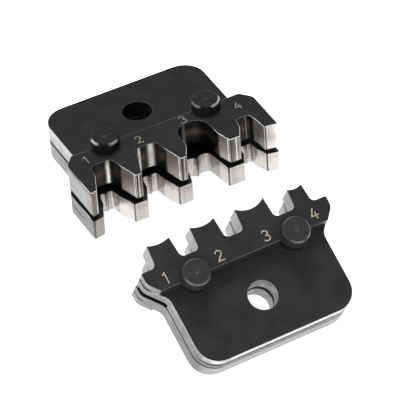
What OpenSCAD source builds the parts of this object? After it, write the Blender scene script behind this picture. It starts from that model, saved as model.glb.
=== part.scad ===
// Crimp die set: a nest die and an anvil die, each made of two hardened
// plates held together by two flanged rivets. Millimetres.
//
// Each half is drawn flat in its own (u, v, w) frame: u runs across the die,
// v runs from the retaining hole towards the teeth, and w = 0 is the top face
// of the body, with the bottom face at w = -2 * plate_t. Each half is then
// stood on the floor as it lies when put down: on the two rivet heads under it
// and on the bottom edge at its back, so its teeth tip up a little.

/* [Plates] */
// Thickness of each plate over the body, half of the whole die
plate_t = 4; // [3.8:0.1:4.2]
// Half the width of the body
body_hw = 18.3; // [18:0.1:18.6]
// Distance from the retaining hole to the back edge
body_back = 9.5; // [9.2:0.1:9.8]
// Radius of the two back corners
back_r = 5; // [4:0.5:6]
// Half the width across the ears
ear_hw = 21.9; // [21.7:0.1:22.1]
// Where the body starts to flare out to the ears
neck_v = 6.9; // [6.6:0.1:7.2]
// Where the flare meets the straight side of the ear
ear_v = 11.1; // [10.8:0.1:11.4]
// Line of the step between the body and the raised pad
step_v = 8.6; // [8.4:0.1:8.8]
// Height of the raised pad over the body, top side
pad_up = 2.15; // [2:0.05:2.3]

/* [Nest die] */
// Distance from the retaining hole to the tooth tips
nest_tip_v = 21.5; // [21.3:0.1:21.7]
// Distance from the retaining hole to the outer ends of the ears
nest_ear_v = 22.1; // [21.9:0.1:22.2]
// Depth of the pad under the bottom plate
nest_pad_down = 2; // [1.8:0.1:2.2]
// Gap between the two plates at the nests, cut into the bottom plate
nest_gap = 1.2; // [1:0.1:1.4]

/* [Anvil die] */
// Distance from the retaining hole to the root line between the anvils
root_v = 13.6; // [13.4:0.1:13.8]
// Depth of the pad under the bottom plate
anvil_pad_down = 0.9; // [0.8:0.1:1.1]
// Gap between the two plates at the anvils, cut into the top plate
anvil_gap = 1.4; // [1.2:0.1:1.6]

/* [Holes and rivets] */
// Radius of the retaining hole through both plates
hole_r = 3.2; // [3.1:0.05:3.3]
// Distance of each rivet from the middle
rivet_u = 11.8; // [11.6:0.1:12]
// Distance of the rivets from the retaining hole towards the teeth
rivet_v = 8.85; // [8.75:0.05:8.95]
// Radius of the rivet shank
shank_r = 2; // [1.9:0.05:2.1]
// Radial clearance of the shank in the plates
shank_fit = 0.02; // [0.01:0.01:0.04]
// Radius of the rivet flange
flange_r = 3.05; // [3:0.05:3.1]
// Height of the flange over the pad
flange_h = 2.1; // [2:0.05:2.2]
// Height of the closed heads under the nest die
nest_foot_h = 2.05; // [1.9:0.05:2.2]
// Height of the closed heads under the anvil die
anvil_foot_h = 3.8; // [3.6:0.05:4]

/* [Rest and travel] */
// Distance from hole to hole across the floor as the halves lie
rest_gap = 54; // [52:0.2:56]
// How far the anvil die lies to the right of the nest die
rest_slide = 0.92; // [0:0.01:1.5]
// How far the anvil die lies turned on the floor, in degrees
rest_turn = 2.1; // [0:0.1:3]
// Distance between the two retaining holes when the halves are closed
closed_gap = 36.5; // [36.5:0.1:37.5]

/* [Hidden] */
$fn = 72;

body_t = 2 * plate_t;

// Middles of the four working positions, from left to right
place = [-15.45, -5.1, 6, 16.6];

// Nests of the top plate: half width at the roof, roof v, roof corner radius,
// half width and v at the kink, half width of the mouth left and right
top_nest = [[2.3, 13.8, 1.5, 2.95, 17.2, 4.8, 4.2],
            [2.5, 13.65, 1.6, 3.05, 16.9, 4.75, 4.3],
            [3.35, 11.6, 3.0, 3.7, 18.3, 5.4, 4.75],
            [1.5, 16.1, 0.8, 2.0, 18.7, 3.4, 2.25]];

// Nests of the bottom plate, with a roof of two lobes and a cusp between:
// half width at the roof, roof v, cusp v, lobe radius, half width and v at
// the kink, half width of the mouth left and right
low_nest = [[1.5, 14.9, 15.7, 0.55, 1.95, 17.8, 3.8, 3.4],
            [1.7, 14.5, 15.4, 0.62, 2.1, 17.8, 3.9, 3.5],
            [3.0, 14.3, 15.6, 1.2, 3.5, 18.2, 4.5, 4.1],
            [1.25, 16.5, 17.1, 0.42, 1.45, 18.7, 2.8, 2.6]];

// Anvils of the top plate: half width and v of the tips, dip of the hollow
// between the tips, half width at the root
top_anvil = [[2.6, 18.5, 0.5, 3.0],
             [2.85, 18.6, 0.7, 3.15],
             [3.42, 18.5, 1.25, 3.72],
             [1.7, 17.95, 0.4, 2.0]];

// Anvils of the bottom plate: the first two end lower than those above them
low_anvil = [[2.0, 17.4, 0.15, 2.9],
             [2.2, 17.5, 0.35, 3.0],
             [3.2, 18.4, 1.0, 3.7],
             [1.25, 17.5, 0.2, 2.0]];

// ---- outlines -------------------------------------------------------------

function unit(a) = a / norm(a);

// The points that round the corner p = [u, v, radius] between a and b
function corner(p, a, b) =
    let (q = [p[0], p[1]], r = p[2],
         s = unit([a[0], a[1]] - q), t = unit([b[0], b[1]] - q),
         half = acos(max(-1, min(1, s * t))) / 2)
    r <= 0 || half > 89 ? [q] :
    let (c = q + unit(s + t) * r / sin(half), l = r / tan(half),
         m = q + s * l - c, n = q + t * l - c,
         a0 = atan2(m[1], m[0]), d0 = atan2(n[1], n[0]) - a0,
         d = d0 > 180 ? d0 - 360 : (d0 < -180 ? d0 + 360 : d0),
         k = max(2, ceil(abs(d) / 11)))
    [for (i = [0:k]) c + r * [cos(a0 + d * i / k), sin(a0 + d * i / k)]];

function rounded(p) =
    [for (i = [0:len(p) - 1])
        each corner(p[i], p[(i + len(p) - 1) % len(p)], p[(i + 1) % len(p)])];

// A hollow between two tips at c - h and c + h, d deep at its middle
function hollow(c, h, v, d, k = 12) =
    let (r = (h * h + d * d) / (2 * d))
    [for (i = [1:k - 1])
        let (x = -h + 2 * h * i / k)
        [c + x, v - d + r - sqrt(r * r - x * x), 0]];

function wide_nest(c, n) =
    [[c - n[5], nest_tip_v, 0.25], [c - n[3], n[4], 3],
     [c - n[0], n[1], n[2]], [c + n[0], n[1], n[2]],
     [c + n[3], n[4], 3], [c + n[6], nest_tip_v, 0.25]];

function lobed_nest(c, n) =
    [[c - n[6], nest_tip_v, 0.25], [c - n[4], n[5], 3],
     [c - n[0], n[1], n[3]], [c - 0.2, n[1], n[3]],
     [c, n[2], 0.12],
     [c + 0.2, n[1], n[3]], [c + n[0], n[1], n[3]],
     [c + n[4], n[5], 3], [c + n[7], nest_tip_v, 0.25]];

function anvil(c, n) =
    concat([[c - n[3], root_v, 1.1], [c - n[0], n[1], 0.12]],
           hollow(c, n[0], n[1], n[2]),
           [[c + n[0], n[1], 0.12], [c + n[3], root_v, 1.1]]);

// Body outline around whatever front is given, from left to right
function around(front, front_v, front_r) =
    concat([[-body_hw, -body_back, back_r], [-body_hw, neck_v, 3],
            [-ear_hw, ear_v, 2.2], [-ear_hw, front_v, front_r]],
           front,
           [[ear_hw, front_v, front_r], [ear_hw, ear_v, 2.2],
            [body_hw, neck_v, 3], [body_hw, -body_back, back_r]]);

function nest_outline(wide) =
    rounded(around([for (i = [0:3]) each
        (wide ? wide_nest(place[i], top_nest[i])
              : lobed_nest(place[i], low_nest[i]))], nest_ear_v, 0.45));

function anvil_outline(n) =
    rounded(around([for (i = [0:3]) each anvil(place[i], n[i])],
                   root_v, 0.35));

// ---- plates ---------------------------------------------------------------

module rivet_spots(r, h) {
    for (s = [-1, 1])
        translate([s * rivet_u, rivet_v, 0]) cylinder(r = r, h = h);
}

// Everything from the line v = from outwards
module front_of(from, z, h) {
    translate([-30, from, z]) cube([60, 30, h]);
}

module plate_holes() {
    translate([0, 0, -20]) cylinder(r = hole_r, h = 40);
    translate([0, 0, -20]) rivet_spots(shank_r + shank_fit, 40);
}

// A plate that lies over w = 0 to -plate_t with its pad raised on top, and
// with the gap cut into its under face from the neck outwards
module upper_plate(outline, gap) {
    difference() {
        union() {
            translate([0, 0, -plate_t])
                linear_extrude(height = plate_t) polygon(outline);
            intersection() {
                linear_extrude(height = pad_up) polygon(outline);
                front_of(step_v, 0, pad_up);
            }
            intersection() {
                rivet_spots(flange_r + 0.25, pad_up);
                translate([-30, -10, 0]) cube([60, 40, pad_up]);
            }
        }
        if (gap > 0)
            difference() {
                front_of(neck_v - 0.4, -plate_t - 1, gap + 1);
                translate([0, 0, -plate_t - 2])
                    rivet_spots(flange_r + 0.25, gap + 3);
            }
        plate_holes();
    }
}

// A plate that lies under the seam, with its pad below and with the gap cut
// into its upper face from the neck outwards
module lower_plate(outline, gap, pad) {
    difference() {
        union() {
            translate([0, 0, -body_t])
                linear_extrude(height = plate_t) polygon(outline);
            intersection() {
                translate([0, 0, -body_t - pad])
                    linear_extrude(height = pad) polygon(outline);
                front_of(step_v, -body_t - pad, pad);
            }
            intersection() {
                translate([0, 0, -body_t - pad])
                    rivet_spots(flange_r + 0.25, pad);
                translate([-30, -10, -body_t - pad]) cube([60, 40, pad]);
            }
        }
        if (gap > 0)
            difference() {
                front_of(neck_v + 0.3, -plate_t - gap, gap + 1);
                translate([0, 0, -plate_t - gap - 1])
                    rivet_spots(flange_r + 0.25, gap + 3);
            }
        plate_holes();
    }
}

// ---- rivets ---------------------------------------------------------------

// Half profile of a rivet whose under head meets the plate at w = -deep.
// The flange has a rounded rim and a small centre dimple;
// the closed head has a plain bevelled rim.
rim_r = 0.45;
bevel = 0.3;
function rivet_profile(deep, foot_h) =
    concat(
        [[0, -deep - foot_h], [flange_r - bevel, -deep - foot_h],
         [flange_r, -deep - foot_h + bevel], [flange_r, -deep],
         [shank_r, -deep], [shank_r, pad_up], [flange_r, pad_up]],
        [for (i = [0:6]) [flange_r - rim_r + rim_r * cos(i * 15),
                          pad_up + flange_h - rim_r + rim_r * sin(i * 15)]],
        [[0.42, pad_up + flange_h], [0.2, pad_up + flange_h - 0.1],
         [0, pad_up + flange_h - 0.14]]);

module rivet(side, deep, foot_h) {
    translate([side * rivet_u, rivet_v, 0])
        rotate_extrude() polygon(rivet_profile(deep, foot_h));
}

// ---- how each half stands -------------------------------------------------

// Tip of a half that stands on the bevelled rims of its under heads and on
// its bottom edge at the back
stance = rivet_v - flange_r + bevel + body_back;
nest_tip = atan((nest_pad_down + nest_foot_h) / stance);
anvil_tip = atan((anvil_pad_down + anvil_foot_h) / stance);

// The middle of the floor that the two halves cover, from midway between holes
middle = [0.26, -0.19];

// A half with its hole at y = 0 is stood up: teeth towards +Y
module stood(tip) {
    translate([0, 0, body_back * sin(tip) + body_t * cos(tip)])
        rotate([tip, 0, 0]) children();
}

// Teeth towards -Y, at the back of the floor; the u axis is kept by drawing
// the half mirrored before it is turned
module nest_place() {
    translate([-middle[0], rest_gap / 2 - middle[1], 0])
        mirror([0, 1, 0]) stood(nest_tip) children();
}

module anvil_place() {
    translate([rest_slide - middle[0], -rest_gap / 2 - middle[1], 0])
        rotate([0, 0, rest_turn]) stood(anvil_tip) children();
}

// ---- the pieces -----------------------------------------------------------

module nest_die_top_plate() {
    color("#2f3032") nest_place() upper_plate(nest_outline(true), 0);
}

module nest_die_bottom_plate() {
    color("#8f8c88") nest_place()
        lower_plate(nest_outline(false), nest_gap, nest_pad_down);
}

module nest_die_left_rivet() {
    color("#232426") nest_place() rivet(-1, body_t + nest_pad_down, nest_foot_h);
}

module nest_die_right_rivet() {
    color("#232426") nest_place() rivet(1, body_t + nest_pad_down, nest_foot_h);
}

module anvil_die_top_plate() {
    color("#333436") anvil_place()
        upper_plate(anvil_outline(top_anvil), anvil_gap);
}

module anvil_die_bottom_plate() {
    color("#77787a") anvil_place()
        lower_plate(anvil_outline(low_anvil), 0, anvil_pad_down);
}

module anvil_die_left_rivet() {
    color("#232426") anvil_place() rivet(-1, body_t + anvil_pad_down, anvil_foot_h);
}

module anvil_die_right_rivet() {
    color("#232426") anvil_place() rivet(1, body_t + anvil_pad_down, anvil_foot_h);
}

nest_die_top_plate();
nest_die_bottom_plate();
nest_die_left_rivet();
nest_die_right_rivet();
anvil_die_top_plate();
anvil_die_bottom_plate();
anvil_die_left_rivet();
anvil_die_right_rivet();
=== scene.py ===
"""Looks of the crimp die set: black-oxide plates with bare ground and wire-cut
edges, polished nests, turned rivets, and plain nest numbers."""
import math

import bmesh
import bpy
import numpy as np
from mathutils import Euler, Matrix, Vector


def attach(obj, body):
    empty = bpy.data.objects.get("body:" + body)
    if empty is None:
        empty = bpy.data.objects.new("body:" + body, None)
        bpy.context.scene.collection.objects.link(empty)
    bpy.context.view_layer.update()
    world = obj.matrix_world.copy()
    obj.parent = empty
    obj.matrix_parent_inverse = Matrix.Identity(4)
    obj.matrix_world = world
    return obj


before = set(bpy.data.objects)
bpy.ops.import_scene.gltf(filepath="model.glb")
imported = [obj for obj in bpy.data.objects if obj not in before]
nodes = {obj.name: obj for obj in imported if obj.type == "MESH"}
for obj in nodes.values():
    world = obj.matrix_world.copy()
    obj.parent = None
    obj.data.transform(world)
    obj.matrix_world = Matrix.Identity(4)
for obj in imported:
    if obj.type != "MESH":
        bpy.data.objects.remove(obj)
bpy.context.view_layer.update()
MM = 0.001

# ---- the two dies' own frames, in millimetres --------------------------------
# Local x runs across the die, local y along it and z = 0 is the top face of the
# body. The teeth point to -y on the nest die and to +y on the anvil die.
NEST_TIP = math.atan((2.0 + 2.05) / 15.6)
ANVIL_TIP = math.atan((0.9 + 3.8) / 15.6)
MIDDLE = (0.26, -0.19)
DIES = {
    "nest": {"loc": (-MIDDLE[0], 27.0 - MIDDLE[1],
                     9.5 * math.sin(NEST_TIP) + 8 * math.cos(NEST_TIP)),
             "rot": (-NEST_TIP, 0.0, 0.0), "teeth": -1},
    "anvil": {"loc": (0.92 - MIDDLE[0], -27.0 - MIDDLE[1],
                      9.5 * math.sin(ANVIL_TIP) + 8 * math.cos(ANVIL_TIP)),
              "rot": (ANVIL_TIP, 0.0, math.radians(2.1)), "teeth": 1},
}
for d in DIES.values():
    d["m"] = (Matrix.Translation(Vector(d["loc"]) * MM)
              @ Euler(d["rot"]).to_matrix().to_4x4() @ Matrix.Scale(MM, 4))
RIVET_U, RIVET_V = 11.8, 8.85


# ---- node helpers ------------------------------------------------------------
class Shader:
    """A material's node tree, written as short calls."""

    def __init__(self, name, die):
        self.mat = bpy.data.materials.new(name)
        self.mat.use_nodes = True
        self.t = self.mat.node_tree
        self.bsdf = self.t.nodes["Principled BSDF"]
        self.die = die
        co = self.add("ShaderNodeTexCoord")
        mp = self.add("ShaderNodeMapping")
        mp.vector_type = "TEXTURE"
        mp.inputs["Location"].default_value = [v * MM for v in DIES[die]["loc"]]
        mp.inputs["Rotation"].default_value = DIES[die]["rot"]
        mp.inputs["Scale"].default_value = (MM, MM, MM)
        self.link(co.outputs["Object"], mp.inputs["Vector"])
        self.p = mp.outputs["Vector"]           # local millimetres
        sep = self.add("ShaderNodeSeparateXYZ")
        self.link(self.p, sep.inputs[0])
        self.x, self.y, self.z = sep.outputs
        self.v = self.math("MULTIPLY", self.y, DIES[die]["teeth"])

    def stripes(self, a, rows):
        """Soft bands on a value: (middle, half width, softness, strength)."""
        out = 0.0
        for mid, half, soft, power in rows:
            one = self.math("MULTIPLY", self.band(a, mid - half, mid + half, soft), power)
            out = self.math("MAXIMUM", out, one)
        return out

    def add(self, kind, **kw):
        n = self.t.nodes.new(kind)
        for k, v in kw.items():
            setattr(n, k, v)
        return n

    def link(self, a, b):
        self.t.links.new(a, b)

    def put(self, socket, value):
        if isinstance(value, bpy.types.NodeSocket):
            self.link(value, socket)
        else:
            socket.default_value = value

    def math(self, op, a, b=0.0, c=None, clamp=False):
        n = self.add("ShaderNodeMath", operation=op, use_clamp=clamp)
        self.put(n.inputs[0], a)
        self.put(n.inputs[1], b)
        if c is not None:
            self.put(n.inputs[2], c)
        return n.outputs[0]

    def vec(self, op, a, b=(0, 0, 0)):
        n = self.add("ShaderNodeVectorMath", operation=op)
        self.put(n.inputs[0], a)
        self.put(n.inputs[1], b)
        return n.outputs["Value"] if op == "LENGTH" else n.outputs["Vector"]

    def ramp(self, a, lo, hi, out_lo=0.0, out_hi=1.0, smooth=True):
        n = self.add("ShaderNodeMapRange",
                     interpolation_type="SMOOTHSTEP" if smooth else "LINEAR")
        self.put(n.inputs["Value"], a)
        for k, v in (("From Min", lo), ("From Max", hi), ("To Min", out_lo),
                     ("To Max", out_hi)):
            self.put(n.inputs[k], v)
        return n.outputs["Result"]

    def noise(self, scale, detail=3.0, stretch=(1, 1, 1), rough=0.55, shift=(0, 0, 0)):
        p = self.vec("MULTIPLY_ADD", self.p, stretch)
        p.node.inputs[2].default_value = shift
        n = self.add("ShaderNodeTexNoise")
        self.link(p, n.inputs["Vector"])
        n.inputs["Scale"].default_value = scale
        n.inputs["Detail"].default_value = detail
        n.inputs["Roughness"].default_value = rough
        return n.outputs["Fac"]

    def spots(self, scale, size, stretch=(1, 1, 1)):
        """Small round marks, 1 inside: a part of the cells only."""
        p = self.vec("MULTIPLY", self.p, stretch)
        n = self.add("ShaderNodeTexVoronoi")
        self.link(p, n.inputs["Vector"])
        n.inputs["Scale"].default_value = scale
        near = self.ramp(n.outputs["Distance"], size * 0.4, size, 1.0, 0.0)
        sep = self.add("ShaderNodeSeparateColor")
        self.link(n.outputs["Color"], sep.inputs[0])
        some = self.ramp(sep.outputs[0], 0.72, 0.76)
        return self.math("MULTIPLY", near, some)

    def mix(self, fac, a, b):
        n = self.add("ShaderNodeMix", data_type="RGBA")
        self.put(n.inputs[0], fac)
        for s, v in ((n.inputs[6], a), (n.inputs[7], b)):
            self.put(s, v if isinstance(v, bpy.types.NodeSocket) else (*v, 1.0))
        return n.outputs[2]

    def mixf(self, fac, a, b):
        n = self.add("ShaderNodeMix", data_type="FLOAT")
        self.put(n.inputs[0], fac)
        self.put(n.inputs[2], a)
        self.put(n.inputs[3], b)
        return n.outputs[0]

    def bump(self, height, strength, distance, normal=None):
        n = self.add("ShaderNodeBump")
        n.inputs["Strength"].default_value = strength
        n.inputs["Distance"].default_value = distance * MM
        self.link(height, n.inputs["Height"])
        if normal is not None:
            self.link(normal, n.inputs["Normal"])
        return n.outputs["Normal"]

    def lens(self, centre, size, soft=0.25):
        """1 inside an ellipsoid given by its middle and half sizes."""
        d = self.vec("SUBTRACT", self.p, centre)
        d = self.vec("DIVIDE", d, size)
        return self.ramp(self.vec("LENGTH", d), 1.0 - soft, 1.0, 1.0, 0.0)

    def band(self, a, lo, hi, soft):
        """1 where a lies between lo and hi."""
        return self.math("MULTIPLY", self.ramp(a, lo - soft, lo + soft),
                         self.ramp(a, hi - soft, hi + soft, 1.0, 0.0))

    def finish(self, color, rough, metal=1.0, normal=None, spec=0.5):
        b = self.bsdf.inputs
        self.put(b["Base Color"], color if isinstance(color, bpy.types.NodeSocket)
                 else (*color, 1.0))
        self.put(b["Roughness"], rough)
        self.put(b["Metallic"], metal)
        b["Specular IOR Level"].default_value = spec
        if normal is not None:
            self.link(normal, b["Normal"])
        return self.mat


# ---- materials ---------------------------------------------------------------
def oxide(name, die, lo, hi, tint, rough=0.42, spec=0.3, step=0.0):
    """Black oxide on ground steel: charcoal, a little uneven, with the fine
    lines of the grinding under it, a few light scuffs, and a painted
    highlight line along the edge of the pad."""
    s = Shader(name, die)
    cloud = s.noise(0.22, 4.0)
    fine = s.noise(5.0, 3.0)
    lines = s.noise(1.0, 2.0, stretch=(0.5, 16.0, 16.0))
    mottled = s.ramp(s.math("MULTIPLY_ADD", fine, 0.35, s.math("MULTIPLY", cloud, 0.8)),
                     0.4, 0.75)
    col = s.mix(mottled, lo, hi)
    col = s.mix(s.ramp(cloud, 0.56, 0.7, 0.0, 0.5), col, tint)
    # light rubbed marks, long and thin, where the die slid on others
    scuff = s.noise(0.9, 2.0, stretch=(0.6, 5.0, 5.0), shift=(3.1, 7.7, 1.3))
    scuff = s.math("MULTIPLY", s.ramp(scuff, 0.67, 0.75), s.ramp(fine, 0.45, 0.62))
    col = s.mix(s.math("MULTIPLY", scuff, 0.4), col, (0.075, 0.075, 0.075))
    # painted highlight: a lighter line along the edge of the pad
    if step > 0.0:
        line = s.math("MULTIPLY", s.band(s.v, 8.55, 8.85, 0.05), s.ramp(s.z, 1.9, 2.0))
        line = s.math("MULTIPLY", line, s.ramp(cloud, 0.3, 0.5, 0.5, 1.0))
        col = s.mix(s.math("MULTIPLY", line, step), col, (0.09, 0.09, 0.088))
    r = s.math("MULTIPLY_ADD", lines, 0.14,
               s.math("MULTIPLY_ADD", fine, 0.16, rough - 0.14))
    h = s.math("MULTIPLY_ADD", fine, 0.5, s.math("MULTIPLY", lines, 0.5))
    return s.finish(col, r, 0.0, s.bump(h, 0.10, 0.02), spec)


def bare(name, die, light, dark, rough, streak, seam=0.17, extra=None, lift=0.0,
         lower=1.0, lift_v=None, wrap=None, low_lift=0.0,
         back_seam=1.0, ears=0.0):
    """Bare steel of a ground or wire-cut edge: fine lines that run through the
    thickness, faint bands, a dark seam between the plates, a painted highlight
    band under the top face, and painted shadow under overhangs from extra.
    lower is how light the lower plate is against the upper one."""
    s = Shader(name, die)
    lines = s.noise(1.0, 3.0, stretch=(9.0, 9.0, 0.35))
    bands = s.noise(0.35, 3.0, stretch=(1.0, 1.0, 2.5))
    fine = s.noise(7.0, 3.0)
    f = s.math("MULTIPLY_ADD", lines, streak, s.math("MULTIPLY", bands, 1.0 - streak))
    col = s.mix(s.ramp(f, 0.3, 0.7), dark, light)
    # painted highlight: a lighter band under the top face
    band = s.math("MULTIPLY", s.ramp(s.z, -1.9, -1.3), lift)
    if lift_v is not None:
        band = s.math("MULTIPLY", band, s.ramp(s.v, lift_v[0], lift_v[1]))
    col = s.mix(band, col, (0.82, 0.82, 0.81))
    smear = s.noise(0.5, 4.0, stretch=(1.0, 1.0, 1.6), shift=(2.0, 9.0, 4.0))
    col = s.mix(s.ramp(smear, 0.54, 0.68, 0.0, 0.55), col, (0.10, 0.095, 0.09))
    if low_lift > 0.0:
        low = s.math("MULTIPLY", s.ramp(s.z, -4.2, -4.7), s.ramp(s.v, -6.5, -8.5, 0.0, low_lift))
        col = s.mix(low, col, (0.5, 0.5, 0.5))
    if lower < 1.0:
        below = s.ramp(s.z, -3.9, -4.4, 0.0, 1.0 - lower)
        col = s.mix(below, col, (0.02, 0.019, 0.018))
    if ears > 0.0:
        col = s.mix(s.ramp(s.v, 9.5, 12.5, 0.0, ears), col, (0.02, 0.019, 0.018))
    if wrap is not None:
        # oxide that reaches over the rounded edge of the ears
        over = s.math("MULTIPLY", s.ramp(s.z, wrap[0], wrap[1]), s.ramp(s.v, 9.5, 11.5))
        col = s.mix(over, col, (0.014, 0.014, 0.014))
    nick = s.spots(0.8, 0.22)
    col = s.mix(s.math("MULTIPLY", nick, 0.5), col, (0.05, 0.048, 0.045))
    # the seam, of uneven width
    off = s.math("ABSOLUTE", s.math("ADD", s.z, 4.0))
    wide = s.math("MULTIPLY_ADD", s.noise(0.6, 2.0), 0.16, seam - 0.08)
    gap = s.ramp(s.math("SUBTRACT", off, wide), 0.0, 0.12, 1.0, 0.0)
    gap = s.math("MULTIPLY", gap, s.ramp(s.v, -7.5, -9.0, 1.0, back_seam))
    # painted shadow under the overhangs, from extra, joins the seam's black
    if extra is not None:
        for m in extra(s):
            gap = s.math("MAXIMUM", gap, m)
    col = s.mix(gap, col, (0.006, 0.006, 0.006))
    r = s.math("MULTIPLY_ADD", lines, 0.2, rough - 0.1)
    h = s.math("MULTIPLY_ADD", lines, 0.7, s.math("MULTIPLY", fine, 0.3))
    n = s.bump(h, 0.08, 0.02)
    metal = s.ramp(gap, 0.0, 1.0, 1.0, 0.0)
    return s.finish(col, s.mixf(gap, r, 0.8), metal, n)


def polished(name, die, light, dark, span, deep, shine, tip, tip_dark, ears, streak, pits,
             films, corners=(), glint=0.0):
    """Wall of a nest: lapped steel. The faces beside a tooth are painted darker
    towards their upper edge as a painted reflection (span gives the heights
    from dark to light), the root of each nest is painted dark as a dark
    reflection with upright painted highlight stripes, and the tooth tips have
    upright lines and, with glint, painted highlights. deep is the colour and
    strength of the dark root."""
    s = Shader(name, die)
    lines = s.noise(1.0, 2.0, stretch=(4.0, 4.0, 0.12))
    cloud = s.noise(0.45, 3.0, stretch=(1.0, 1.0, 0.6))
    fine = s.noise(6.0, 3.0)
    wave = s.math("SUBTRACT", cloud, 0.5)
    # painted reflection: darker towards the upper edge of the wall
    uneven = s.math("MULTIPLY_ADD", wave, 3.0, s.z)
    up = s.ramp(uneven, span[1], span[0])
    col = s.mix(up, light, dark)
    # the root, up to the steep part of the walls, painted dark as a dark reflection
    limit = s.ramp(s.x, -0.5, 0.5, 17.1, 18.3)
    limit = s.math("SUBTRACT", limit, s.ramp(s.x, 12.0, 13.0, 0.0, 0.9))
    root = s.ramp(s.math("SUBTRACT", s.math("MULTIPLY_ADD", wave, 1.2, s.v), limit),
                  0.35, -0.35, 0.0, deep[1])
    col = s.mix(root, col, deep[0])
    # the root of the third nest painted near black, a painted dark reflection
    wide = s.math("MULTIPLY", s.band(s.x, 2.0, 10.2, 0.3), s.math("MULTIPLY", root, deep[2]))
    col = s.mix(wide, col, (0.006, 0.0055, 0.005))
    # painted highlight stripes on the root walls
    rows, z_lo, z_hi = shine
    bright = s.stripes(s.math("MULTIPLY_ADD", wave, 0.25, s.x), rows)
    bright = s.math("MULTIPLY", bright, s.ramp(s.v, 17.2, 15.6))
    first = s.ramp(s.x, -11.0, -9.0, 1.0, 0.0)
    fade = s.mixf(first, s.ramp(s.z, z_lo + 1.0, z_hi, 1.0, 0.75),
                  s.ramp(s.z, z_lo, z_hi, 1.0, 0.25))
    bright = s.math("MULTIPLY", bright, fade)
    col = s.mix(bright, col, (1.0, 0.97, 0.93))
    # tips
    at_tip = s.ramp(s.v, 21.05, 21.25)
    line = s.stripes(s.x, ((-11.04, 0.11, 0.06, 0.95), (-10.2, 0.08, 0.06, 0.8),
                           (-0.55, 0.16, 0.07, 0.95), (0.4, 0.07, 0.05, 0.7),
                           (10.95, 0.15, 0.07, 0.95), (11.5, 0.3, 0.15, 0.4),
                           (-21.0, 0.1, 0.2, 0.4), (19.1, 0.15, 0.1, 0.85)))
    face = s.mix(s.ramp(s.x, 15.0, 18.0), tip, ears[1])
    face = s.mix(s.ramp(s.x, -18.0, -20.0), face, ears[0])
    col = s.mix(at_tip, col, s.mix(line, face, tip_dark))
    lit = 0.0
    if glint > 0.0:
        # painted highlights: bright upright lines on the tips and just beside their corners
        on_tip = s.stripes(s.x, ((-10.6, 0.1, 0.06, 0.7), (0.02, 0.12, 0.06, 0.65),
                                 (12.2, 0.13, 0.06, 0.85), (-20.4, 0.12, 0.1, 0.45)))
        beside = s.stripes(s.x, ((-11.34, 0.1, 0.05, 0.85), (-0.94, 0.1, 0.05, 0.85),
                                 (10.52, 0.1, 0.05, 0.85), (18.5, 0.12, 0.06, 0.7)))
        lit = s.mixf(at_tip, s.math("MULTIPLY", beside, s.ramp(s.v, 20.65, 20.85)), on_tip)
        lit = s.math("MULTIPLY", lit, glint)
        col = s.mix(lit, col, (1.0, 0.98, 0.95))
    if corners:
        # darker lines along the upright corners of the teeth
        corner_dark = s.stripes(s.x, [(c, 0.1, 0.07, 0.85) for c in corners])
        corner_dark = s.math("MULTIPLY", corner_dark, s.ramp(s.v, 20.9, 21.1))
        col = s.mix(corner_dark, col, (0.03, 0.027, 0.024))
    hair = s.math("MULTIPLY", s.ramp(lines, 0.5, 0.68),
                  s.math("MULTIPLY_ADD", root, streak[1], streak[0]))
    col = s.mix(hair, col, (0.13, 0.12, 0.11))
    rim = s.band(up, 0.35, 0.75, 0.15)
    col = s.mix(s.math("MULTIPLY", rim, 0.2), col, (0.24, 0.185, 0.14))
    hole = s.math("MULTIPLY", s.spots(1.6, 0.24), pits)
    col = s.mix(hole, col, (0.015, 0.013, 0.012))
    r = s.math("MULTIPLY_ADD", fine, 0.1, 0.16)
    r = s.math("MULTIPLY_ADD", root, 0.14, r)
    h = s.math("MULTIPLY_ADD", lines, 0.6, s.math("MULTIPLY", fine, 0.4))
    n = s.bump(h, 0.05, 0.02)
    film = s.mixf(at_tip, s.mixf(root, films[0], films[1]), 1.0)
    film = s.mixf(lit, film, 0.3)
    return s.finish(col, r, s.mixf(bright, film, s.mixf(first, 0.12, 0.7)), n, 0.12)


def flank(name, die):
    """Side of an anvil: even light grey from the wire cut, with a painted
    highlight line where the fillet meets the root, painted shade on the
    flank beside the left ear, and small nicks."""
    s = Shader(name, die)
    lines = s.noise(1.0, 3.0, stretch=(7.0, 7.0, 0.4))
    fine = s.noise(9.0, 3.0)
    cloud = s.noise(0.5, 2.0)
    f = s.math("MULTIPLY_ADD", fine, 0.4, s.math("MULTIPLY_ADD", lines, 0.3,
                                               s.math("MULTIPLY", cloud, 0.3)))
    col = s.mix(s.ramp(f, 0.38, 0.62), (0.33, 0.335, 0.34), (0.5, 0.5, 0.5))
    # painted highlight where the fillet meets the root
    root = s.band(s.v, 13.4, 14.3, 0.3)
    col = s.mix(s.math("MULTIPLY", root, 0.55), col, (0.72, 0.72, 0.71))
    # painted shade on the leftmost flank, beside the left ear
    col = s.mix(s.ramp(s.x, -17.0, -17.8, 0.0, 0.6), col, (0.22, 0.22, 0.22))
    nick = s.spots(0.9, 0.25)
    col = s.mix(s.math("MULTIPLY", nick, 0.7), col, (0.03, 0.03, 0.03))
    h = s.math("MULTIPLY_ADD", lines, 0.5, s.math("MULTIPLY", fine, 0.5))
    return s.finish(col, s.math("MULTIPLY_ADD", fine, 0.2, 0.4), 0.75,
                    s.bump(h, 0.2, 0.03))


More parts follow.
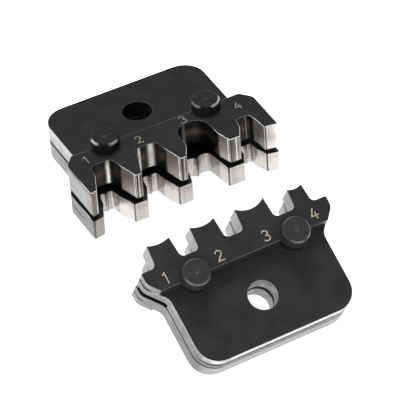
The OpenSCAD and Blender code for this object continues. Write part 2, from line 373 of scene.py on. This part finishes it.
def dark_inside(name, die, bare_v=None):
    """Faces in the gap between the plates: near black and matt, a painted deep
    shade over the dark oxide. The anvil die's rivet bosses use it as painted
    shadow. On the anvils they are bare from bare_v on."""
    s = Shader(name, die)
    cloud = s.noise(0.6, 3.0)
    fine = s.noise(6.0, 2.0)
    col = s.mix(s.ramp(cloud, 0.4, 0.65), (0.0035, 0.0035, 0.0037), (0.009, 0.009, 0.009))
    if bare_v is not None:
        col = s.mix(s.ramp(s.v, bare_v - 0.5, bare_v + 0.1), col,
                    s.mix(fine, (0.42, 0.42, 0.42), (0.56, 0.56, 0.56)))
    return s.finish(col, s.math("MULTIPLY_ADD", fine, 0.2, 0.5), 0.0,
                    s.bump(fine, 0.1, 0.02), 0.2)


def bore(name, die, light, dark, metal, seam=(0.12, 0.26)):
    """Wall of the retaining hole, with turned lines round it and the dark seam
    between the plates; the anvil's wide seam is also painted shadow.
    """
    s = Shader(name, die)
    lines = s.noise(1.0, 3.0, stretch=(0.6, 0.6, 7.0))
    cloud = s.noise(0.5, 2.0)
    col = s.mix(s.ramp(s.math("MULTIPLY_ADD", lines, 0.6,
                              s.math("MULTIPLY", cloud, 0.4)), 0.4, 0.62), dark, light)
    # the seam: a dark joint, drawn wide on the anvil as painted shadow
    off = s.math("ABSOLUTE", s.math("ADD", s.z, 4.0))
    gap = s.ramp(off, seam[0], seam[1], 1.0, 0.0)
    col = s.mix(gap, col, (0.003, 0.003, 0.003))
    return s.finish(col, s.math("MULTIPLY_ADD", lines, 0.2, 0.3),
                    s.ramp(gap, 0.0, 1.0, metal, 0.0), s.bump(lines, 0.2, 0.03), 0.02)


def edge_wear_and_glint(name, die, light, dark, zones, metal=1.0, step=0.0, corners=None):
    """The fine broken edge of a plate: oxide rubbed through to bright steel
    in places, made light enough to stand also as a painted edge highlight, a
    faint painted highlight line along the step up to the pad, black in the
    seam, darker lines on the upright corners of the lower plate's teeth,
    painted highlights on the upright corners of the upper plate's tips, and
    edges kept dark near the rivets as painted shadow. zones tells how much is
    rubbed at the body's outline, on the pad, at the teeth and at the hole."""
    s = Shader(name, die)
    a = s.noise(0.55, 3.0, shift=(5.0, 1.0, 2.0))
    b = s.noise(4.0, 2.0)
    rub_and_glint = s.ramp(s.math("MULTIPLY_ADD", b, 0.35, s.math("MULTIPLY", a, 0.75)), 0.3, 0.55,
                 0.35, 1.0)
    zone = s.ramp(s.v, 7.4, 8.0, zones[0], zones[1])
    zone = s.mixf(s.ramp(s.v, 15.5, 18.5), zone, zones[2])
    ro = s.math("SQRT", s.math("ADD", s.math("MULTIPLY", s.x, s.x),
                               s.math("MULTIPLY", s.y, s.y)))
    zone = s.mixf(s.ramp(ro, 3.7, 3.9, 1.0, 0.0), zone, zones[3])
    at_step = s.band(s.v, 8.2, 9.1, 0.1)
    du = s.math("SUBTRACT", s.math("ABSOLUTE", s.x), RIVET_U)
    dv = s.math("SUBTRACT", s.v, RIVET_V)
    away = s.math("SQRT", s.math("ADD", s.math("MULTIPLY", du, du), s.math("MULTIPLY", dv, dv)))
    near = s.ramp(away, 3.4, 3.7, 1.0, 0.0)
    # near the rivets the edges stay dark, a painted shadow under the heads
    zone = s.mixf(s.math("MAXIMUM", s.math("MULTIPLY", at_step, s.band(s.x, -21.0, 21.0, 0.1)),
                         near), zone, 0.0)
    # painted highlight along the upper edge of the step
    line = s.math("MULTIPLY", at_step, s.ramp(s.z, 1.6, 1.8, 0.0, step))
    line = s.math("MULTIPLY", line, s.ramp(near, 0.0, 1.0, 1.0, 0.0))
    rub_and_glint = s.math("MAXIMUM", s.math("MULTIPLY", rub_and_glint, zone), line)
    col = s.mix(rub_and_glint, dark, light)
    if corners is not None:
        upright = s.band(s.z, corners[0], corners[1], 0.05)
        upright = s.math("MULTIPLY", upright, s.ramp(a, 0.3, 0.42, 0.5, 1.0))
        upright = s.math("MULTIPLY", upright, s.ramp(s.v, 20.2, 20.8))
        col = s.mix(upright, col, (0.02, 0.018, 0.016))
        rub_and_glint = s.math("MULTIPLY", rub_and_glint, s.ramp(upright, 0.0, 1.0, 1.0, 0.0))
        # painted highlights on the upright corners of the upper plate's tips
        bright = s.math("MULTIPLY", s.band(s.z, -3.85, 2.0, 0.05), s.ramp(s.v, 20.3, 20.8))
        bright = s.math("MULTIPLY", bright, s.ramp(s.x, -19.0, -18.0, 0.2, 0.9))
        col = s.mix(bright, col, (1.0, 0.98, 0.95))
        rub_and_glint = s.mixf(bright, rub_and_glint, 0.3)
    off = s.math("ABSOLUTE", s.math("ADD", s.z, 4.0))
    gap = s.ramp(off, 0.3, 0.45, 1.0, 0.0)
    col = s.mix(gap, col, (0.004, 0.004, 0.004))
    rub_and_glint = s.math("MULTIPLY", rub_and_glint, s.ramp(gap, 0.0, 1.0, metal, 0.0))
    return s.finish(col, s.math("MULTIPLY_ADD", b, 0.2, 0.3), rub_and_glint,
                    s.bump(b, 0.1, 0.02), 0.3)


def rivet_mat(name, die, side, arcs, turned):
    """Turned and blackened head: fine rings, a brighter dimple, and painted
    highlight arcs on the rim."""
    s = Shader(name, die)
    cy = RIVET_V * DIES[die]["teeth"]
    d = s.vec("SUBTRACT", s.p, (side * RIVET_U, cy, 0.0))
    sep = s.add("ShaderNodeSeparateXYZ")
    s.link(d, sep.inputs[0])
    dx, dy = sep.outputs[0], sep.outputs[1]
    r = s.math("SQRT", s.math("ADD", s.math("MULTIPLY", dx, dx), s.math("MULTIPLY", dy, dy)))
    ang = s.math("ARCTAN2", dy, dx)
    fine = s.noise(6.0, 3.0)
    cloud = s.noise(0.8, 3.0)
    wob = s.math("MULTIPLY_ADD", cloud, 0.05, r)
    rings = s.math("SINE", s.math("MULTIPLY", wob, 26.0))
    rings2 = s.math("SINE", s.math("MULTIPLY", wob, 61.0))
    ring = s.math("MULTIPLY_ADD", rings, 0.3, s.math("MULTIPLY_ADD", rings2, 0.2, 0.5))
    col = s.mix(s.ramp(s.math("MULTIPLY_ADD", fine, 0.5, s.math("MULTIPLY", cloud, 0.5)),
                       0.4, 0.65), *((0.006, 0.0065, 0.007), (0.013, 0.0135, 0.014))
                if die == "nest" else ((0.018, 0.0185, 0.0195), (0.032, 0.0325, 0.0335)))
    top = s.ramp(s.z, 3.9, 4.1)
    col = s.mix(s.math("MULTIPLY", s.math("MULTIPLY", ring, top), 0.55 * turned), col,
                (0.045, 0.045, 0.046))
    # painted highlight arcs on the rim
    rim = s.math("MULTIPLY", s.band(r, 2.72, 3.04, 0.06), s.ramp(s.z, 3.62, 3.8))
    lit = 0.0
    for mid_deg, half_deg, power in arcs:
        turn = s.math("COSINE", s.math("SUBTRACT", ang, math.radians(mid_deg)))
        edge = math.cos(math.radians(half_deg))
        one = s.ramp(turn, edge - 0.1, edge + 0.1, 0.0, power)
        lit = s.math("MAXIMUM", lit, one)
    lit = s.math("MULTIPLY", lit, rim)
    lit = s.math("MULTIPLY", lit, s.ramp(cloud, 0.36, 0.52, 0.5, 1.0))
    col = s.mix(lit, col, (0.55, 0.55, 0.56))
    # centre dimple, a little lighter where the tool marked it
    mid = s.band(r, 0.18, 0.5, 0.1)
    col = s.mix(s.math("MULTIPLY", mid, s.ramp(fine, 0.4, 0.6, 0.1, 0.55)), col,
                (0.10, 0.10, 0.10))
    n = s.bump(s.math("MULTIPLY", ring, top), 0.1 + 0.3 * turned, 0.02)
    n = s.bump(fine, 0.1, 0.02, n)
    return s.finish(col, s.math("MULTIPLY_ADD", fine, 0.16, 0.34),
                    s.math("MULTIPLY", lit, 0.9), n, 0.04 if die == "nest" else 0.3)


def mark(name, die, light, dark):
    """Laser-burnt line: pale, matt and a little broken."""
    s = Shader(name, die)
    grain = s.noise(4.0, 3.0)
    col = s.mix(s.ramp(grain, 0.36, 0.6), dark, light)
    return s.finish(col, 0.75, 0.0, s.bump(grain, 0.3, 0.02), 0.2)


def overhang_shadow_anvil(s):
    """Painted shadow under the overhanging upper part of the anvil die's outer
    edge, at the ears and along the back.
    """
    out = [s.lens((-21.9, 10.9, -0.15), (1.3, 4.1, 0.62), 0.3),
           s.lens((21.9, 11.4, -0.75), (1.3, 3.6, 0.3)),
           s.lens((-21.9, 11.4, -6.3), (1.3, 3.2, 0.4), 0.5)]
    back = s.band(s.z, -2.75, -1.95, 0.05)
    back = s.math("MULTIPLY", back, s.ramp(s.v, -4.5, -7.0))
    back = s.math("MULTIPLY", back, s.ramp(s.noise(0.3, 2.0, shift=(9, 2, 4)), 0.3, 0.5,
                                           0.5, 1.0))
    back = s.math("MULTIPLY", back, s.ramp(s.x, 4.0, 13.0, 1.0, 0.5))
    out.append(back)
    return out


def overhang_shadow_nest(s):
    """Painted shadow under the overhanging upper part of the nest die's ears."""
    return [s.lens((-21.9, -10.6, -0.75), (1.2, 1.5, 0.3)),
            s.lens((-21.9, -14.5, -7.5), (1.2, 5.0, 0.2)),
            s.lens((21.9, -12.0, -0.75), (1.2, 3.4, 0.25))]


M = {
    "nest": {
        "face": oxide("oxide nest", "nest", (0.0105, 0.0115, 0.012), (0.018, 0.019, 0.0195),
                      (0.012, 0.015, 0.0165), rough=0.36, spec=0.04, step=0.45),
        "side": bare("bare edge nest", "nest", (0.345, 0.34, 0.33), (0.225, 0.22, 0.21),
                     0.34, 0.35, seam=0.4, ears=0.28, extra=overhang_shadow_nest, lift=0.1, lower=0.55,
                     lift_v=(9.0, 7.0), wrap=(1.2, 1.9)),
        "wall_top": polished("nest wall upper", "nest", (0.52, 0.495, 0.465),
                             (0.185, 0.172, 0.158), (2.2, -4.2),
                             ((0.020, 0.0185, 0.0165), 0.98, 0.8),
                             (((-14.15, 0.36, 0.28, 1.0), (-3.95, 0.5, 0.5, 1.0),
                               (-6.62, 0.34, 0.08, 1.0), (4.85, 0.2, 0.5, 0.36),
                               (17.3, 0.1, 0.12, 0.45), (-17.2, 0.2, 0.4, 0.08)), -0.6, 2.2),
                             (0.32, 0.308, 0.29), (0.025, 0.023, 0.021),
                             ((0.16, 0.15, 0.14), (0.72, 0.69, 0.66)), (0.04, 0.06), 0.5,
                             (0.45, 0.75), glint=1.0),
        "wall_low": polished("nest wall lower", "nest", (0.66, 0.635, 0.605),
                             (0.44, 0.42, 0.395), (-4.4, -8.0),
                             ((0.16, 0.148, 0.135), 0.4, 0.0),
                             (((-14.0, 0.2, 0.3, 0.5), (-4.0, 0.3, 0.4, 0.4),
                               (4.6, 0.3, 0.4, 0.4)), -4.5, -3.5),
                             (0.46, 0.44, 0.42), (0.36, 0.345, 0.33),
                             ((0.26, 0.25, 0.235), (0.58, 0.56, 0.53)), (0.07, 1.1), 1.0,
                             (1.0, 1.0), (-21.6, -12.05, -1.6, 10.12, 19.2)),
        "inside": dark_inside("gap nest", "nest"),
        "bore": bore("bore nest", "nest", (0.012, 0.012, 0.013), (0.004, 0.004, 0.004), 0.0),
        "edge": edge_wear_and_glint("edge nest", "nest", (0.80, 0.78, 0.75), (0.02, 0.02, 0.02),
                     (0.12, 0.05, 0.85, 0.02), metal=0.7, step=0.04, corners=(-9.7, -4.3)),
    },
    "anvil": {
        "face": oxide("oxide anvil", "anvil", (0.0165, 0.0168, 0.0178),
                      (0.0275, 0.0278, 0.029), (0.0195, 0.0198, 0.0235)),
        "side": bare("bare edge anvil", "anvil", (0.25, 0.25, 0.25), (0.155, 0.155, 0.155),
                     0.42, 0.3, seam=0.26, extra=overhang_shadow_anvil, lift=0.7,
                     lift_v=(-6.0, -8.5), low_lift=0.45, back_seam=0.35),
        "wall_top": flank("anvil flank", "anvil"),
        "wall_low": None,
        "inside": dark_inside("gap anvil", "anvil", 13.2),
        "bore": bore("bore anvil", "anvil", (0.46, 0.46, 0.455), (0.2, 0.2, 0.195), 0.9,
                     (0.56, 0.74)),
        "edge": edge_wear_and_glint("edge anvil", "anvil", (0.50, 0.50, 0.50), (0.024, 0.024, 0.024),
                     (0.9, 0.12, 0.25, 0.5), metal=0.8, step=0.22),
    },
}
M["anvil"]["wall_low"] = M["anvil"]["wall_top"]
SLOTS = ["face", "side", "wall_top", "inside", "bore", "edge"]


# ---- plates ------------------------------------------------------------------
def smooth_group():
    """Joins the imported facets, so that edges can be broken and curves shade
    as curves."""
    g = bpy.data.node_groups.new("join facets", "GeometryNodeTree")
    g.interface.new_socket("Geometry", in_out="INPUT", socket_type="NodeSocketGeometry")
    g.interface.new_socket("Geometry", in_out="OUTPUT", socket_type="NodeSocketGeometry")
    i = g.nodes.new("NodeGroupInput")
    o = g.nodes.new("NodeGroupOutput")
    w = g.nodes.new("GeometryNodeMergeByDistance")
    w.inputs["Distance"].default_value = 2e-6
    n = g.nodes.new("GeometryNodeSetMeshNormal")
    n.mode = "SHARPNESS"
    n.inputs["Remove Custom"].default_value = True
    n.inputs["Edge Sharpness"].default_value = False
    n.inputs["Face Sharpness"].default_value = False
    g.links.new(i.outputs[0], w.inputs["Geometry"])
    g.links.new(w.outputs[0], n.inputs["Mesh"])
    g.links.new(n.outputs[0], o.inputs[0])
    return g


JOIN = smooth_group()


def local_faces(obj, die):
    """Middle and normal of each face in the die's own frame (u, v, w)."""
    me = obj.data
    c = np.empty(len(me.polygons) * 3)
    n = np.empty(len(me.polygons) * 3)
    me.polygons.foreach_get("center", c)
    me.polygons.foreach_get("normal", n)
    inv = np.array(DIES[die]["m"].inverted())
    r = np.array(Euler(DIES[die]["rot"]).to_matrix()).T
    c = c.reshape(-1, 3) @ inv[:3, :3].T + inv[:3, 3]
    n = n.reshape(-1, 3) @ r.T
    for a in (c, n):
        a[:, 1] *= DIES[die]["teeth"]
    return c, n


def dress_plate(obj, die, upper):
    c, n = local_faces(obj, die)
    u, v, w = c.T
    kind = np.zeros(len(c), int)                       # face
    side = np.abs(n[:, 2]) < 0.5
    front = v > (12.9 if die == "anvil" else 11.0)
    toothed = side & front & (np.abs(u) < 21.7)
    kind[side] = SLOTS.index("side")
    kind[toothed] = SLOTS.index("wall_top")
    # the step up to the pad keeps its oxide, as do the bosses at the rivets on
    # the nest die; on the anvil die the bosses get the near-black gap colour as
    # painted shadow under the rivets
    step = side & (v < 8.8) & ((w > 0.01) | (w < -8.01)) & (np.abs(u) < 20.0)
    near = np.minimum(np.hypot(u - RIVET_U, v - RIVET_V), np.hypot(u + RIVET_U, v - RIVET_V))
    kind[step] = SLOTS.index("face")
    kind[side & (near < 3.5)] = SLOTS.index("inside" if die == "anvil" else "face")
    kind[side & (np.hypot(u, v) < 3.4)] = SLOTS.index("bore")
    # faces inside the gap get the near-black gap colour, painted shade
    inner = (~side) & ((n[:, 2] < 0) if upper else (n[:, 2] > 0))
    kind[inner] = SLOTS.index("inside")
    # upright faces between the plates just behind the step get the same painted shade
    between = (w < -0.05) & (w > -7.95)
    kind[side & between & (v < 7.6) & (v > 6.2) & (np.abs(u) < 17.8)] = SLOTS.index("inside")
    me = obj.data
    me.materials.clear()
    for k in SLOTS:
        key = "wall_low" if (k == "wall_top" and not upper) else k
        me.materials.append(M[die][key])
    me.polygons.foreach_set("material_index", kind.astype(np.int32))
    g = obj.modifiers.new("join", "NODES")
    g.node_group = JOIN
    d = obj.modifiers.new("whole faces", "DECIMATE")
    d.decimate_type = "DISSOLVE"
    d.angle_limit = math.radians(0.3)
    d.delimit = {"MATERIAL"}
    b = obj.modifiers.new("broken edges", "BEVEL")
    b.width = 0.09 * MM
    b.segments = 2
    b.limit_method = "ANGLE"
    b.angle_limit = math.radians(28)
    b.material = SLOTS.index("edge")
    b.use_clamp_overlap = False
    b.face_strength_mode = "FSTR_ALL"
    wn = obj.modifiers.new("even shading", "WEIGHTED_NORMAL")
    wn.mode = "FACE_AREA"
    wn.weight = 50
    wn.keep_sharp = False
    wn.use_face_influence = True


for die in ("nest", "anvil"):
    dress_plate(nodes[f"{die}_die_top_plate"], die, True)
    dress_plate(nodes[f"{die}_die_bottom_plate"], die, False)

# ---- rivets ------------------------------------------------------------------
# painted highlight arcs on the rim as (middle, half width) in degrees and
# strength, and how plainly the turned rings show
RIVETS = {("nest", -1): ([(-172, 21, 0.85), (-77, 16, 0.85)], 0.15),
          ("nest", 1): ([(-50, 38, 0.85), (-167, 24, 0.35)], 0.3),
          ("anvil", -1): ([(-107, 60, 0.22)], 1.0),
          ("anvil", 1): ([(-24, 45, 0.3), (-110, 30, 0.2)], 1.0)}
for (die, side), (arcs, turned) in RIVETS.items():
    obj = nodes[f"{die}_die_{'left' if side < 0 else 'right'}_rivet"]
    obj.data.materials.clear()
    obj.data.materials.append(rivet_mat(f"rivet {die} {side}", die, side, arcs, turned))


# ---- nest numbers ------------------------------------------------------------
def arc(cx, cy, rx, ry, a0, a1, k=12):
    return [(cx + rx * math.cos(math.radians(a0 + (a1 - a0) * i / k)),
             cy + ry * math.sin(math.radians(a0 + (a1 - a0) * i / k))) for i in range(k + 1)]


# single-line figures in a box 0.6 wide and 1 high
FIGURES = {
    "1": [[(0.14, 0.84), (0.36, 1.0), (0.36, 0.0)]],
    "2": [arc(0.3, 0.72, 0.28, 0.28, 165, -35) + [(0.02, 0.0), (0.6, 0.0)]],
    "3": [arc(0.27, 0.76, 0.27, 0.24, 150, -90), arc(0.27, 0.26, 0.31, 0.26, 90, -150)],
    "4": [[(0.36, 1.0), (0.0, 0.30), (0.64, 0.30)], [(0.44, 0.62), (0.44, 0.0)]],
}


def stroke(bm, pts, half, z, flip):
    """A flat ribbon with round ends along the points."""
    pts = [Vector(p) for p in pts]
    # left and right borders with mitred joints
    left, right = [], []
    for i, p in enumerate(pts):
        a = (p - pts[i - 1]).normalized() if i else (pts[1] - p).normalized()
        b = (pts[i + 1] - p).normalized() if i < len(pts) - 1 else a
        t = (a + b)
        t = t.normalized() if t.length > 1e-6 else b
        n = Vector((-t.y, t.x))
        k = half / max(0.45, abs(n.dot(Vector((-b.y, b.x)))))
        left.append(p + n * k)
        right.append(p - n * k)
    lv = [bm.verts.new((q.x, q.y, z)) for q in left]
    rv = [bm.verts.new((q.x, q.y, z)) for q in right]
    for i in range(len(pts) - 1):
        f = [lv[i], rv[i], rv[i + 1], lv[i + 1]]
        bm.faces.new(f[::-1] if flip else f)
    for end, nxt, vs in ((0, 1, (lv[0], rv[0])), (-1, -2, (rv[-1], lv[-1]))):
        d = (pts[end] - pts[nxt]).normalized()
        s = Vector((-d.y, d.x))
        cap = [bm.verts.new((*(pts[end] + (s * math.cos(t) + d * math.sin(t)) * half), z))
               for t in [math.pi * j / 8 for j in range(9)]]
        bm.faces.new(cap if not flip else cap[::-1])


def number(die, figure, u, v, size, half, mat):
    """One figure on the pad of a die, read with the teeth away from the
    reader on the anvil die and towards the reader on the nest die."""
    bm = bmesh.new()
    y0 = v * DIES[die]["teeth"]
    for line in FIGURES[figure]:
        pts = [(u + (x - 0.3) * size, y0 + (y - 0.5) * size) for x, y in line]
        stroke(bm, pts, half, 2.15 + 0.03, False)
    for f in bm.faces:
        f.normal_update()
        if f.normal.z < 0:
            f.normal_flip()
    me = bpy.data.meshes.new(f"{die}_number_{figure}")
    bm.to_mesh(me)
    bm.free()
    me.transform(DIES[die]["m"])
    me.materials.append(mat)
    o = bpy.data.objects.new(f"{die}_number_{figure}", me)
    bpy.context.scene.collection.objects.link(o)
    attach(o, f"{die}_die")


pale_nest = mark("number nest", "nest", (0.30, 0.275, 0.235), (0.11, 0.10, 0.088))
pale_anvil = mark("number anvil", "anvil", (0.62, 0.55, 0.45), (0.30, 0.26, 0.21))
for fig, u, v in (("1", -17.7, 11.5), ("2", -5.3, 11.3), ("3", 5.6, 10.3), ("4", 17.6, 12.2)):
    number("nest", fig, u, v, 2.1, 0.115, pale_nest)
for fig, u, v in (("1", -17.6, 10.7), ("2", -5.1, 10.7), ("3", 6.0, 10.7), ("4", 17.6, 11.0)):
    number("anvil", fig, u, v, 2.3, 0.13, pale_anvil)

# ---- floor, light and camera ---------------------------------------------------
me = bpy.data.meshes.new("floor")
me.from_pydata([(-1.2, -1.2, 0), (1.2, -1.2, 0), (1.2, 1.2, 0), (-1.2, 1.2, 0)], [],
               [(0, 1, 2, 3)])
floor = bpy.data.objects.new("floor", me)
bpy.context.scene.collection.objects.link(floor)
fm = bpy.data.materials.new("white floor")
fm.use_nodes = True
fb = fm.node_tree.nodes["Principled BSDF"]
fb.inputs["Base Color"].default_value = (0.9, 0.9, 0.9, 1)
fb.inputs["Roughness"].default_value = 0.7
fb.inputs["Specular IOR Level"].default_value = 0.1
fb.inputs["Emission Color"].default_value = (1, 1, 1, 1)
fb.inputs["Emission Strength"].default_value = 0.9
me.materials.append(fm)

world = bpy.data.worlds.new("studio")
bpy.context.scene.world = world
world.use_nodes = True
wt = world.node_tree
bg = wt.nodes["Background"]
tc = wt.nodes.new("ShaderNodeTexCoord")
sx = wt.nodes.new("ShaderNodeSeparateXYZ")
cr = wt.nodes.new("ShaderNodeValToRGB")
wt.links.new(tc.outputs["Generated"], sx.inputs[0])
wt.links.new(sx.outputs[2], cr.inputs[0])
cr.color_ramp.elements[0].position = 0.0
cr.color_ramp.elements[0].color = (1.0, 1.0, 1.0, 1)
cr.color_ramp.elements[1].position = 0.55
cr.color_ramp.elements[1].color = (0.36, 0.365, 0.37, 1)
wt.links.new(cr.outputs[0], bg.inputs["Color"])
bg.inputs["Strength"].default_value = 1.0


def area(name, at, to, size, power, color=(1, 1, 1)):
    l = bpy.data.lights.new(name, "AREA")
    l.shape = "RECTANGLE"
    l.size, l.size_y = size
    l.energy = power
    l.color = color
    o = bpy.data.objects.new(name, l)
    o.location = at
    o.rotation_euler = (Vector(to) - Vector(at)).to_track_quat("-Z", "Y").to_euler()
    bpy.context.scene.collection.objects.link(o)
    return o


area("key", (0.10, 0.42, 0.42), (0, 0, 0.01), (0.30, 0.16), 2.6)
area("left", (-0.5, -0.05, 0.25), (0, 0, 0.01), (0.2, 0.3), 1.0)
area("front", (-0.1, -0.5, 0.20), (0, 0, 0.01), (0.5, 0.12), 0.8)

# the camera that the photograph was fitted with: azimuth, elevation and roll in
# degrees, then the aim's offset and the distance in millimetres
AZ, EL, ROLL = math.radians(-32.24355), math.radians(52.03723), math.radians(5.50858)
TX, TY, DIST, LENS = 0.42455, 1.90315, 883.34507, 4252.248
back = Vector((math.sin(AZ) * math.cos(EL), -math.cos(AZ) * math.cos(EL), math.sin(EL)))
right0 = Vector((math.cos(AZ), math.sin(AZ), 0))
up0 = back.cross(right0)
right = right0 * math.cos(ROLL) + up0 * math.sin(ROLL)
up = up0 * math.cos(ROLL) - right0 * math.sin(ROLL)
cam_data = bpy.data.cameras.new("camera")
cam = bpy.data.objects.new("camera", cam_data)
bpy.context.scene.collection.objects.link(cam)
rot = Matrix((right, up, back)).transposed().to_4x4()
cam.matrix_world = Matrix.Translation(
    (right * TX + up * TY + back * DIST + Vector((0, 0, 8))) * MM) @ rot
cam_data.sensor_fit = "HORIZONTAL"
cam_data.sensor_width = 36.0
cam_data.lens = 36.0 * LENS / 400.0
cam_data.clip_start = 0.01
cam_data.clip_end = 20.0
cam_data.dof.use_dof = False
bpy.context.scene.camera = cam
bpy.context.scene.view_settings.view_transform = "Standard"

bpy.context.view_layer.update()
